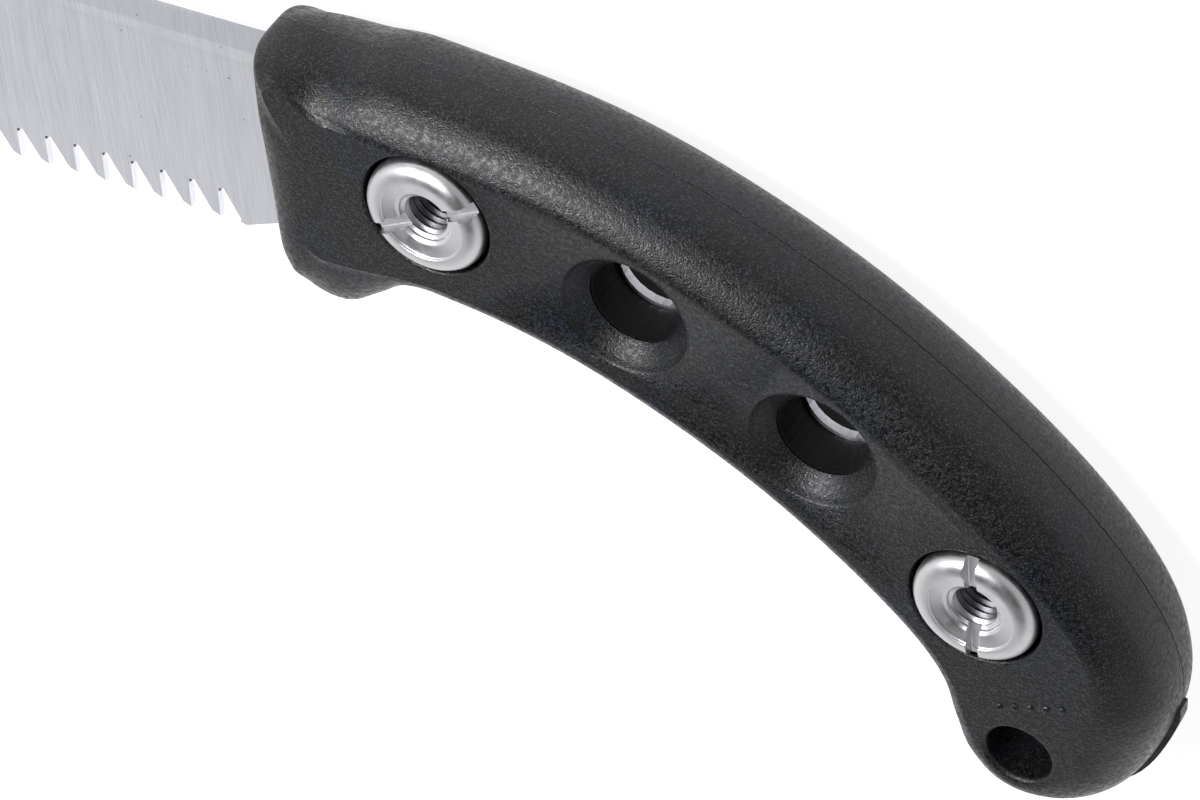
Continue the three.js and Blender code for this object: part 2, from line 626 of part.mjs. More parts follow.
/** Bolt: domed slotted head, collar through the washer, shank inside the nut. */
function bolt(centre, turn) {
  const crown = -PANEL_HALF - HEAD_CROWN + 0.1;
  const collarEnd = SLEEVE_END - GAP;
  const profile = [
    [0, crown], [5.4, crown + 0.12], [7.9, crown + 0.45], [9.3, crown + 0.95], [HEAD_R, crown + 1.8],
    [HEAD_R, boltSeat - 0.4], [HEAD_R - 0.4, boltSeat], [SLEEVE_R, boltSeat], [SLEEVE_R, collarEnd],
    [BOLT_SHANK_R, collarEnd], [BOLT_SHANK_R, BOLT_TIP - 0.6], [BOLT_SHANK_R - 0.6, BOLT_TIP],
    [0, BOLT_TIP],
  ];
  return turned(profile, centre, 28).subtract(slotCut(centre, turn, crown));
}

/** Split spring washer between a bolt head and the core. */
function springWasher(centre, turn) {
  const top = -CORE_HALF - GAP;
  const bottom = top - WASHER_THICK;
  const ring = turned([
    [WASHER_IN_R, bottom], [WASHER_OUT_R, bottom], [WASHER_OUT_R, top], [WASHER_IN_R, top],
    [WASHER_IN_R, bottom],
  ], centre, 28);
  const middle = (WASHER_IN_R + WASHER_OUT_R) / 2;
  const at = new THREE.Vector2(
    centre.x + middle * Math.cos(turn * DEG),
    centre.y + middle * Math.sin(turn * DEG),
  );
  return ring.subtract(box(4.5, 1.0, 2 * WASHER_THICK, at, turn, bottom));
}

// ---------------------------------------------------------------- assembly
const materials = {
  steel: new THREE.MeshStandardMaterial({ color: 0xc6c8cf, roughness: 0.38, metalness: 1 }),
  nickel: new THREE.MeshStandardMaterial({ color: 0xcfcfd2, roughness: 0.3, metalness: 1 }),
  spring: new THREE.MeshStandardMaterial({ color: 0x8a8a8c, roughness: 0.4, metalness: 1 }),
  elastomer: new THREE.MeshStandardMaterial({ color: 0x2b2b2d, roughness: 0.6, metalness: 0 }),
  nylon: new THREE.MeshStandardMaterial({ color: 0x161617, roughness: 0.5, metalness: 0 }),
};

const saw = new THREE.Group();

function addPiece(name, geometry, material) {
  const mesh = new THREE.Mesh(geometry, material.clone());
  mesh.name = name;
  saw.add(mesh);
}

addPiece('saw_blade', sawBlade(), materials.steel);
addPiece('rubber_grip', toGeometry(grip()), materials.elastomer);
addPiece('handle_core', toGeometry(core()), materials.nylon);
['front', 'rear'].forEach((place, i) => {
  const nut = sleeveNut(boltHoles[i], NUT_SLOT_TURNS[i]);
  const screw = bolt(boltHoles[i], BOLT_SLOT_TURNS[i]);
  const washer = springWasher(boltHoles[i], 40 + 90 * i);
  addPiece(`${place}_sleeve_nut`, toGeometry(nut), materials.nickel);
  addPiece(`${place}_bolt`, toGeometry(screw), materials.nickel);
  addPiece(`${place}_spring_washer`, toGeometry(washer), materials.spring);
});

// The saw's own frame: X follows the line from butt to blade tip, the origin is under its middle.
const butt = polar(aft(16.53), HOLE_ARC_R - 2.7);
const tip = blade(BLADE_LENGTH, BLADE_WIDTH);
saw.rotation.z = -Math.atan2(tip.y - butt.y, tip.x - butt.x);
saw.updateMatrixWorld(true);
const bounds = new THREE.Box3().setFromObject(saw, true);
saw.position.set(
  -(bounds.min.x + bounds.max.x) / 2,
  -(bounds.min.y + bounds.max.y) / 2,
  -bounds.min.z,
);

export default saw;
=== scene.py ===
"""Looks of a curved pull saw: smooth moulded grip, slotted sleeve nuts and bolts, ground steel blade.

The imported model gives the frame. The grip, nuts and bolts are modelled again here with finer surfaces,
and the blade, core and washers keep their CAD shape and get a finish.
"""

from __future__ import annotations

import logging
import math
from dataclasses import dataclass, field
from enum import Enum
from typing import Iterable, Sequence

import bpy
from mathutils import Matrix, Vector


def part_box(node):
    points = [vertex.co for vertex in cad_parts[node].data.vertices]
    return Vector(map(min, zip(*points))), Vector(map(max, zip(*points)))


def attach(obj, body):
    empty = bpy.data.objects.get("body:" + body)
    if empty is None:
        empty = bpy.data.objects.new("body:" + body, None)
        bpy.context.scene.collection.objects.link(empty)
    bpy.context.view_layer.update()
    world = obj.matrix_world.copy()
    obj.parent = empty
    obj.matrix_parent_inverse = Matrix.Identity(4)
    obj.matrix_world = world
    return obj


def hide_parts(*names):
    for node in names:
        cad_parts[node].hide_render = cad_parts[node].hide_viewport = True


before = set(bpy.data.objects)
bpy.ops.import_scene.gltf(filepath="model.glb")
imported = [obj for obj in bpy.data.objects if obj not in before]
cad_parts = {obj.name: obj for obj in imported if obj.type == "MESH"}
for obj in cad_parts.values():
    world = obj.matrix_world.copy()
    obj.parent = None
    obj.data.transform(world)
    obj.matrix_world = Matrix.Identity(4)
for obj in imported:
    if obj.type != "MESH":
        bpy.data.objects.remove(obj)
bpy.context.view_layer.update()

MM = 0.001
MERGE = 1e-6  # distance in metres under which doubled vertices join
PANEL = 11.8  # height of the grip's side panels from the middle plane, in millimetres
LOG = logging.getLogger("pull_saw")

Triple = tuple[float, float, float]
Span = tuple[float, float]
Profile = list[tuple[float, float]]


# ------------------------------------------------------------------ handle frame
@dataclass(frozen=True)
class HandleFrame:
    """The handle's own frame: front bolt axis as origin, x towards the blade, y from spine to teeth.

    Lengths are in millimetres here, and every point that leaves this class is in metres.
    """

    origin: Vector
    along: Vector
    middle: float
    hole_arc: float = 147.7
    half_span: float = 19.47
    front_angle: float = 28.0
    front_back: float = 1.9
    blade_fore: float = 12.2
    spine_rise: float = 15.4
    last_hole: int = 3

    @classmethod
    def from_nuts(cls) -> HandleFrame:
        """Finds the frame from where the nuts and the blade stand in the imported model."""
        front, rear, blade = (
            sum(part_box(node), Vector()) / 2
            for node in ("front_sleeve_nut", "rear_sleeve_nut", "saw_blade")
        )
        return cls(front.xy, (front - rear).xy.normalized(), blade.z)

    @property
    def across(self) -> Vector:
        """Unit vector from the spine towards the teeth."""
        return Vector((-self.along.y, self.along.x))

    @property
    def turn(self) -> float:
        """Angle of the frame's x axis in the row frame, in radians."""
        return math.atan2(self.along.y, self.along.x)

    def place(self, x: float, y: float, z: float = 0.0) -> Vector:
        """A point of this frame, in millimetres, as a point of the row frame, in metres."""
        flat = self.origin + (self.along * x + self.across * y) * MM
        return Vector((flat.x, flat.y, self.middle + z * MM))

    def heading(self, x: float, y: float, z: float) -> Vector:
        """A direction of this frame as a direction of the row frame."""
        flat = self.along * x + self.across * y
        return Vector((flat.x, flat.y, z))

    def polar(self, angle: float, radius: float) -> Vector:
        """Flat point at an angle in degrees and a radius about the centre of the handle's arc."""
        centre = Vector((-math.sin(math.radians(self.half_span)), math.cos(math.radians(self.half_span))))
        ray = Vector((math.sin(math.radians(angle)), -math.cos(math.radians(angle))))
        return centre * self.hole_arc + ray * radius

    def arc(self, start: float, end: float, radius: float, steps: int = 20) -> list[Vector]:
        """Flat points at one radius about that centre, from one angle to another."""
        return [self.polar(start + (end - start) * n / steps, radius) for n in range(steps + 1)]

    def front(self, ahead: float, down: float) -> Vector:
        """Flat point ahead of the grip's front end and down it from the blade's spine."""
        start = self.polar(self.half_span + self.blade_fore, self.hole_arc + self.spine_rise)
        turn = math.radians(self.front_angle)
        along = Vector((math.cos(turn), math.sin(turn)))
        return start + along * (ahead - self.front_back) + Vector((-along.y, along.x)) * down

    def hole(self, number: int) -> Vector:
        """Flat centre of hole 0 (front) to the last one (rear), evenly spaced along the arc."""
        return self.polar(self.half_span * (1 - 2 * number / self.last_hole), self.hole_arc)


HANDLE = HandleFrame.from_nuts()


# ------------------------------------------------------------------ modelling steps
class Bench:
    """Modelling steps that all pieces share."""

    @staticmethod
    def take(*pieces: bpy.types.Object) -> None:
        """Leaves object mode and selects these objects only, the first one active."""
        if bpy.context.object is not None and bpy.context.object.mode != "OBJECT":
            bpy.ops.object.mode_set(mode="OBJECT")
        bpy.ops.object.select_all(action="DESELECT")
        for piece in pieces:
            piece.select_set(True)
        if pieces:
            bpy.context.view_layer.objects.active = pieces[0]

    @staticmethod
    def edit_all(piece: bpy.types.Object) -> None:
        """Opens a piece in edit mode with all of it selected."""
        Bench.take(piece)
        bpy.ops.object.mode_set(mode="EDIT")
        bpy.ops.mesh.select_all(action="SELECT")

    @staticmethod
    def close() -> None:
        """Merges doubles, turns the faces outwards and leaves edit mode."""
        bpy.ops.mesh.select_all(action="SELECT")
        bpy.ops.mesh.remove_doubles(threshold=MERGE)
        bpy.ops.mesh.normals_make_consistent(inside=False)
        bpy.ops.object.mode_set(mode="OBJECT")

    @staticmethod
    def plate(name: str, outline: Sequence[Vector], low: float, high: float) -> bpy.types.Object:
        """A flat outline in the handle frame, extruded between two heights.

        Args:
            name: the new object's name.
            outline: flat points in millimetres, in order.
            low: lower height from the middle plane, in millimetres.
            high: upper height.

        Returns:
            The closed plate.
        """
        Bench.take()
        bpy.ops.mesh.primitive_circle_add(vertices=len(outline), radius=1, fill_type="NGON")
        piece = bpy.context.object
        piece.name = name
        for vertex, point in zip(piece.data.vertices, outline):
            vertex.co = HANDLE.place(point.x, point.y, low)
        Bench.edit_all(piece)
        bpy.ops.mesh.extrude_region_move(TRANSFORM_OT_translate={"value": (0, 0, (high - low) * MM)})
        Bench.close()
        return piece

    @staticmethod
    def turned(
        name: str, profile: Profile, centre: Vector, steps: int = 96
    ) -> bpy.types.Object:
        """A profile drawn point by point and spun about an upright axis.

        Args:
            name: the new object's name.
            profile: (radius, height) points in millimetres, closed on the axis or on itself.
            centre: flat place of the axis in the handle frame, in millimetres.
            steps: faces round the axis.

        Returns:
            The closed turned piece.
        """
        start = HANDLE.place(centre.x, centre.y)
        Bench.take()
        bpy.ops.mesh.primitive_plane_add(size=MM, location=(0, 0, 0))
        piece = bpy.context.object
        piece.name = name
        Bench.edit_all(piece)
        bpy.ops.mesh.merge(type="CENTER")
        here = Vector((start.x + profile[0][0] * MM, start.y, start.z + profile[0][1] * MM))
        bpy.ops.transform.translate(value=here)
        for (r0, z0), (r1, z1) in zip(profile, profile[1:]):
            step = ((r1 - r0) * MM, 0, (z1 - z0) * MM)
            bpy.ops.mesh.extrude_region_move(TRANSFORM_OT_translate={"value": step})
        bpy.ops.mesh.select_all(action="SELECT")
        bpy.ops.mesh.spin(
            steps=steps, angle=2 * math.pi, center=(start.x, start.y, 0), axis=(0, 0, 1)
        )
        Bench.close()
        return piece

    @staticmethod
    def bar(
        name: str, size: Triple, centre: Vector, height: float, turn: float, rounding: float
    ) -> bpy.types.Object:
        """A box with bevelled edges, turned in the handle frame.

        Args:
            name: the new object's name.
            size: length, width and height in millimetres.
            centre: flat place in the handle frame, in millimetres.
            height: middle of the bar from the middle plane, in millimetres.
            turn: angle from the handle frame's x axis, in degrees.
            rounding: bevel width in millimetres.

        Returns:
            The bar, with its place in its mesh.
        """
        Bench.take()
        bpy.ops.mesh.primitive_cube_add(size=1)
        piece = bpy.context.object
        piece.name = name
        Bench.edit_all(piece)
        bpy.ops.transform.resize(value=[side * MM for side in size])
        bpy.ops.mesh.bevel(offset=rounding * MM, segments=3, affect="EDGES")
        Bench.close()
        spin = Matrix.Rotation(HANDLE.turn + math.radians(turn), 4, "Z")
        spot = Matrix.Translation(HANDLE.place(centre.x, centre.y, height))
        piece.data.transform(spot @ spin)
        return piece

    @staticmethod
    def modify(piece: bpy.types.Object, kind: str, **settings: object) -> None:
        """Adds a modifier, sets it and applies it."""
        Bench.take(piece)
        modifier = piece.modifiers.new(kind.title(), kind)
        for key, value in settings.items():
            setattr(modifier, key, value)
        bpy.ops.object.modifier_apply(modifier=modifier.name)

    @staticmethod
    def carve(piece: bpy.types.Object, cutters: Iterable[bpy.types.Object], union: bool = False) -> None:
        """Cuts each cutter from a piece, or joins it on, and removes the cutter."""
        for cutter in cutters:
            Bench.modify(
                piece, "BOOLEAN", operation="UNION" if union else "DIFFERENCE",
                solver="EXACT", use_hole_tolerant=True, object=cutter,
            )
            bpy.data.objects.remove(cutter)

    @staticmethod
    def smooth(piece: bpy.types.Object, angle: float) -> None:
        """Smooth shading below an angle in degrees, with flats kept flat."""
        Bench.take(piece)
        bpy.ops.object.shade_smooth_by_angle(angle=math.radians(angle))
        Bench.modify(piece, "WEIGHTED_NORMAL", keep_sharp=True, weight=80)

    @staticmethod
    def join(pieces: Sequence[bpy.types.Object]) -> bpy.types.Object:
        """Joins pieces into the first of them."""
        Bench.take(*pieces)
        bpy.ops.object.join()
        return pieces[0]


# ------------------------------------------------------------------ finishes
class Shader:
    """A node material with one principled shader, and short calls to wire it."""

    def __init__(self, name: str) -> None:
        """Makes the material and its shader.

        Args:
            name: the material's name.
        """
        self.material = bpy.data.materials.new(name)
        self.material.use_nodes = True
        self.nodes = self.material.node_tree.nodes
        self.links = self.material.node_tree.links
        self.shader = self.nodes["Principled BSDF"]
        self.place = self.nodes.new("ShaderNodeTexCoord").outputs["Object"]

    def fix(self, **values: object) -> None:
        """Sets constants on the shader's own sockets, with _ for a space in their names."""
        for key, value in values.items():
            self.shader.inputs[key.replace("_", " ")].default_value = value

    def node(self, kind: str, inputs: dict[str | int, object], **settings: object) -> bpy.types.Node:
        """Adds a node.

        Args:
            kind: the node type without its "ShaderNode" prefix.
            inputs: socket name or number to a value or to another node's output.
            settings: properties of the node.

        Returns:
            The new node.
        """
        node = self.nodes.new("ShaderNode" + kind)
        for key, value in settings.items():
            setattr(node, key, value)
        for key, value in inputs.items():
            if isinstance(value, bpy.types.NodeSocket):
                self.links.new(value, node.inputs[key])
            else:
                node.inputs[key].default_value = value
        return node

    def noise(self, scale: float, detail: float = 2.0, rough: float = 0.5,
              place: bpy.types.NodeSocket | None = None) -> bpy.types.NodeSocket:
        """Noise with features about 1 / scale metres wide."""
        inputs = {"Vector": place or self.place, "Scale": scale, "Detail": detail, "Roughness": rough}
        return self.node("TexNoise", inputs).outputs["Fac"]

    def stretched(self, turn: float, stretch: Triple) -> bpy.types.NodeSocket:
        """Object coordinates turned about Z and stretched, for a grain with a direction."""
        turned = self.node("Mapping", {"Vector": self.place, "Rotation": (0, 0, -turn)})
        return self.node("Mapping", {"Vector": turned.outputs[0], "Scale": stretch}).outputs[0]

    def between(self, value: bpy.types.NodeSocket, low: float, high: float,
                start: float = 0.0, end: float = 1.0) -> bpy.types.NodeSocket:
        """Maps value from low..high to start..end, clamped."""
        inputs = {0: value, 1: low, 2: high, 3: start, 4: end}
        return self.node("MapRange", inputs, clamp=True).outputs[0]

    def math(self, operation: str, a: object, b: object = 0.0) -> bpy.types.NodeSocket:
        """One math node."""
        return self.node("Math", {0: a, 1: b}, operation=operation).outputs[0]

    def blend(self, share: object, first: object, second: object) -> bpy.types.NodeSocket:
        """A colour between two colours."""
        node = self.node("Mix", {"Factor": share}, data_type="RGBA")
        for socket, value in ((node.inputs[6], first), (node.inputs[7], second)):
            if isinstance(value, bpy.types.NodeSocket):
                self.links.new(value, socket)
            else:
                socket.default_value = (*value, 1.0)
        return node.outputs[2]

    def bump(self, height: bpy.types.NodeSocket, strength: float, depth: float,
             under: bpy.types.NodeSocket | None = None) -> bpy.types.NodeSocket:
        """Bump of a depth in metres, on top of another one if given."""
        inputs: dict[str | int, object] = {"Height": height, "Strength": strength, "Distance": depth}
        if under is not None:
            inputs["Normal"] = under
        return self.node("Bump", inputs).outputs[0]

    def wire(self, **sockets: bpy.types.NodeSocket) -> None:
        """Links sockets to the shader's inputs, with _ for a space in their names."""
        for key, socket in sockets.items():
            self.links.new(socket, self.shader.inputs[key.replace("_", " ")])


class Finish:
    """Base of all finishes: made once, then put on any number of pieces."""

    name = "finish"

    def build(self) -> bpy.types.Material:
        """Makes the material."""
        raise NotImplementedError

    def dress(self, *pieces: bpy.types.Object) -> None:
        """Puts this finish on each piece as its only material."""
        material = bpy.data.materials.get(self.name) or self.build()
        for piece in pieces:
            piece.data.materials.clear()
            piece.data.materials.append(material)


@dataclass(frozen=True)
class Elastomer(Finish):
    """Black spark-textured elastomer: fine grain, faint mottling, and painted glints in the base colour:
    grey, cool and warm specks.
    """

    name: str = "grip_elastomer"
    colour: Triple = (0.0015, 0.0016, 0.0019)
    # painted glints: grey, cool and warm fleck colours in the base colour, standing in for the sparkle of
    # light on the spark texture
    painted_glint: Triple = (0.028, 0.029, 0.031)
    painted_glint_cool: Triple = (0.020, 0.027, 0.048)
    painted_glint_warm: Triple = (0.038, 0.030, 0.027)
    grain: float = 0.30 * MM
    grain_depth: float = 0.085 * MM
    coarse: float = 0.42
    tint_scale: float = 70.0
    # shares of the tint noise for the cool and warm painted glints, and of the fleck noise for where the
    # painted glints show
    painted_glint_cool_span: Span = (0.40, 0.50)
    painted_glint_warm_span: Span = (0.60, 0.66)
    painted_glint_span: Span = (0.50, 0.74)
    roughness: Span = (0.28, 0.52)

    def build(self) -> bpy.types.Material:
        """Makes the material."""
        s = Shader(self.name)
        grain = s.noise(1 / self.grain, 2, 0.6)
        coarse = s.noise(self.coarse / self.grain, 1)
        tint = s.noise(self.tint_scale, 2, 0.6)
        # painted glints: specks of fleck colour over the black base, tinted bluish or warm by the tint
        # noise
        painted_glint_cooled = s.blend(s.between(tint, *self.painted_glint_cool_span, 1.0, 0.0), self.painted_glint, self.painted_glint_cool)
        painted_glint_colour = s.blend(s.between(tint, *self.painted_glint_warm_span), painted_glint_cooled, self.painted_glint_warm)
        painted_glint = s.between(s.noise(1 / self.grain, 1), *self.painted_glint_span)
        s.wire(
            Base_Color=s.blend(painted_glint, self.colour, painted_glint_colour),
            Roughness=s.between(coarse, 0.35, 0.65, *self.roughness),
            Normal=s.bump(coarse, 0.7, self.grain_depth, s.bump(grain, 1.0, self.grain_depth)),
        )
        s.fix(Specular_IOR_Level=0.34)
        return s.material


@dataclass(frozen=True)
class GroundSteel(Finish):
    """Satin blade steel: grinding lines across the blade, pits, stains and painted dark shade on the
    tooth bevels.
    """

    name: str = "ground_steel"
    colour: Triple = (0.76, 0.77, 0.815)
    shade: Triple = (0.64, 0.65, 0.70)
    pit: Triple = (0.16, 0.15, 0.15)
    # painted shade: dark colour of the tooth bevels, standing in for the dark they reflect
    bevel: Triple = (0.10, 0.095, 0.10)
    line: float = 0.22 * MM
    line_turn: float = 27.0
    line_stretch: Triple = (1.0, 0.025, 1.0)
    line_depth: float = 0.006 * MM
    broad: float = 0.12
    cloud_scale: float = 35.0
    pit_scale: float = 420.0
    pit_span: Span = (0.05, 0.10)
    rare_scale: float = 160.0
    rare_span: Span = (0.55, 0.62)
    # tilts of the shading normal that get the painted bevel shade, between flat and edge-on
    flat_span: Span = (0.9, 0.97)
    edge_span: Span = (0.25, 0.15)
    roughness: Span = (0.30, 0.42)

    def build(self) -> bpy.types.Material:
        """Makes the material."""
        s = Shader(self.name)
        grain = s.stretched(HANDLE.turn + math.radians(self.line_turn), self.line_stretch)
        lines = s.noise(1 / self.line, 3, 0.6, grain)
        broad = s.noise(self.broad / self.line, 2, 0.5, grain)
        cloud = s.noise(self.cloud_scale, 3)
        cells = s.node("TexVoronoi", {"Vector": s.place, "Scale": self.pit_scale})
        pits = s.between(cells.outputs[0], *self.pit_span)
        rare = s.between(s.noise(self.rare_scale, 1), *self.rare_span)
        pitted = s.math("MULTIPLY", s.math("SUBTRACT", 1.0, pits), rare)
        ground = s.blend(s.between(lines, 0.35, 0.65), self.shade, self.colour)
        clouded = s.blend(s.between(cloud, 0.4, 0.7, 0.0, 0.25), ground, self.shade)
        # painted shade: facets tilted between flat and edge-on, that is the tooth bevels, get the dark
        # bevel colour
        facing = s.node("SeparateXYZ", {0: s.node("NewGeometry", {}).outputs["Normal"]}).outputs[2]
        tilt = s.math("ABSOLUTE", facing)
        flat = s.between(tilt, *self.flat_span)
        edge = s.between(tilt, *self.edge_span)
        unshaded_facets = s.math("MAXIMUM", flat, edge)
        s.wire(
            Base_Color=s.blend(unshaded_facets, self.bevel, s.blend(pitted, clouded, self.pit)),
            Roughness=s.between(broad, 0.3, 0.7, *self.roughness),
            Normal=s.bump(lines, 0.35, self.line_depth),
        )
        s.fix(Metallic=1.0, Anisotropic=0.35)
        return s.material


@dataclass(frozen=True)
class SatinNickel(Finish):
    """Satin plated fastener: soft blasted grain, fine turning marks, scratches and darker nicks, and
    painted shade on what lies deep in the handle.
    """

    name: str = "satin_nickel"
    colour: Triple = (0.62, 0.62, 0.64)
    nick: Triple = (0.20, 0.20, 0.22)
    # painted shade: dark colour for the parts that sit deep in the seat, the bore and the handle
    recess_painted_shade: Triple = (0.11, 0.11, 0.12)
    grain: float = 0.26 * MM
    grain_depth: float = 0.02 * MM
    wear: float = 0.10
    wear_scale: float = 260.0
    soft_scale: float = 420.0
    scratch_scale: float = 2600.0
    scratch_turn: float = 38.0
    scratch_stretch: Triple = (1.0, 0.12, 1.0)
    scratch_span: Span = (0.66, 0.74)
    scratch_depth: float = 0.03 * MM
    # depths from the middle plane over which the painted shade fades out
    recess_shade_span: Span = (9.5 * MM, 11.4 * MM)
    roughness: Span = (0.31, 0.43)

    def build(self) -> bpy.types.Material:
        """Makes the material."""
        s = Shader(self.name)
        grain = s.noise(1 / self.grain, 3, 0.6)
        soft = s.noise(self.soft_scale)
        scratch_place = s.stretched(math.radians(self.scratch_turn), self.scratch_stretch)
        scratch = s.between(s.noise(self.scratch_scale, 2, 0.7, scratch_place), *self.scratch_span)
        patch = s.between(s.noise(self.wear_scale, 1), 0.62 - self.wear, 0.66)
        worn = s.math("MULTIPLY", scratch, patch)
        # painted shade: darker nearer the middle plane, down the threaded bore, under the heads' rims and
        # along the sleeve
        height = s.node("SeparateXYZ", {0: s.place}).outputs[2]
        depth = s.math("ABSOLUTE", s.math("SUBTRACT", height, HANDLE.middle))
        unshaded_depth = s.between(depth, *self.recess_shade_span)
        s.wire(
            Base_Color=s.blend(unshaded_depth, self.recess_painted_shade, s.blend(worn, self.colour, self.nick)),
            Roughness=s.between(soft, 0.3, 0.7, *self.roughness),
            Normal=s.bump(worn, 0.5, self.scratch_depth, s.bump(grain, 0.6, self.grain_depth)),
        )
        s.fix(Metallic=1.0)
        return s.material


@dataclass(frozen=True)
class SpringSteel(Finish):
    """Dark phosphated spring steel with rubbed patches."""

    name: str = "spring_steel"
    colour: Triple = (0.20, 0.20, 0.205)
    rubbed: Triple = (0.42, 0.42, 0.43)
    patch_scale: float = 700.0
    grain_scale: float = 4000.0
    grain_depth: float = 0.01 * MM

    def build(self) -> bpy.types.Material:
        """Makes the material."""
        s = Shader(self.name)
        patch = s.noise(self.patch_scale, 3, 0.6)
        s.wire(
            Base_Color=s.blend(s.between(patch, 0.5, 0.65), self.colour, self.rubbed),
            Roughness=s.between(patch, 0.3, 0.7, 0.5, 0.35),
            Normal=s.bump(s.noise(self.grain_scale), 0.3, self.grain_depth),
        )
        s.fix(Metallic=1.0)
        return s.material


@dataclass(frozen=True)
class Nylon(Finish):
    """Black filled nylon with a faint fibre bloom."""

    name: str = "core_nylon"
    colour: Triple = (0.004, 0.004, 0.005)
    bloom: Triple = (0.014, 0.014, 0.015)
    fibre_scale: float = 2200.0
    fibre_depth: float = 0.02 * MM

    def build(self) -> bpy.types.Material:
        """Makes the material."""
        s = Shader(self.name)
        fibre = s.noise(self.fibre_scale, 4, 0.7)
        s.wire(
            Base_Color=s.blend(s.between(fibre, 0.5, 0.75), self.colour, self.bloom),
            Roughness=s.between(fibre, 0.3, 0.7, 0.42, 0.6),
            Normal=s.bump(fibre, 0.4, self.fibre_depth),
        )
        s.fix(Specular_IOR_Level=0.2)
        return s.material


# ------------------------------------------------------------------ grip
class Section(Enum):
    """How the grip's skin runs from the middle plane to the side panel: (share of the way, height)."""

    BEAD = ((0, 0), (0.03, 2.8), (0.1, 5.2), (0.21, 7.25), (0.39, 9.05), (0.57, 10.35),
            (0.74, 11.15), (0.87, 11.6), (1, PANEL))
    NOSE = ((0, 0), (0.05, 2.4), (0.16, 4.7), (0.31, 6.8), (0.48, 8.5), (0.65, 9.8),
            (0.8, 10.7), (0.9, 11.1), (1, PANEL))
    CORNER = ((0, 0), (0, 2.0), (0.02, 3.6), (0.06, 5.0), (0.14, 6.5), (0.27, 8.0),
              (0.45, 9.4), (0.7, 10.8), (1, PANEL))
    FRONT = ((0, 0), (0, 3.0), (0.015, 6.0), (0.1, 8.6), (0.26, 10.35), (0.47, 11.3),
             (0.7, 11.7), (0.87, 11.78), (1, PANEL))
    BUTT = ((0, 0), (0.05, 4.0), (0.19, 7.2), (0.4, 9.6), (0.6, 10.85), (0.76, 11.4),
            (0.88, 11.68), (0.95, 11.77), (1, PANEL))
    BELLY = ((0, 0), (0.08, 4.2), (0.24, 7.4), (0.45, 9.7), (0.65, 10.95), (0.8, 11.45),
             (0.9, 11.68), (0.96, 11.77), (1, PANEL))
    CHIN = ((0, 0), (0.01, 3.0), (0.05, 5.8), (0.14, 8.2), (0.3, 10.0), (0.5, 11.1),
            (0.72, 11.6), (0.88, 11.75), (1, PANEL))
    LOBE = ((0, 0), (0.02, 2.6), (0.07, 4.9), (0.16, 6.9), (0.3, 8.6), (0.5, 9.95),
            (0.72, 10.75), (0.92, 11.2), (1, PANEL))

    def at(self, level: float) -> Vector:
        """Share and height at a level between the listed ones, on a smooth curve."""
        points = [Vector(point) for point in self.value]
        knot = min(int(level), len(points) - 2)
        before = points[knot - 1] if knot else Vector((points[1].x, -points[1].y))
        after = points[min(knot + 2, len(points) - 1)]
        return smooth_step(before, points[knot], points[knot + 1], after, level - knot)


def smooth_step(p0: Vector, p1: Vector, p2: Vector, p3: Vector, t: float, power: float = 0.0) -> Vector:
    """A point between p1 and p2 on the Catmull-Rom curve through four points.

    Args:
        p0: the point before p1.
        p1: the start.
        p2: the end.
        p3: the point after p2.
        t: share of the way from p1 to p2.
        power: 0 spaces the knots evenly, 0.5 by the root of their distance.

    Returns:
        The point.
    """
    d0, d1, d2 = (max((b - a).length, 1e-9) ** power for a, b in ((p0, p1), (p1, p2), (p2, p3)))
    m1 = ((p1 - p0) / d0 - (p2 - p0) / (d0 + d1) + (p2 - p1) / d1) * d1
    m2 = ((p2 - p1) / d1 - (p3 - p1) / (d1 + d2) + (p3 - p2) / d2) * d1
    return (
        p1 + m1 * t + (p2 * 3 - p1 * 3 - m1 * 2 - m2) * t**2 + (p1 * 2 - p2 * 2 + m1 + m2) * t**3
    )


Station = tuple[Vector, Vector, Section]


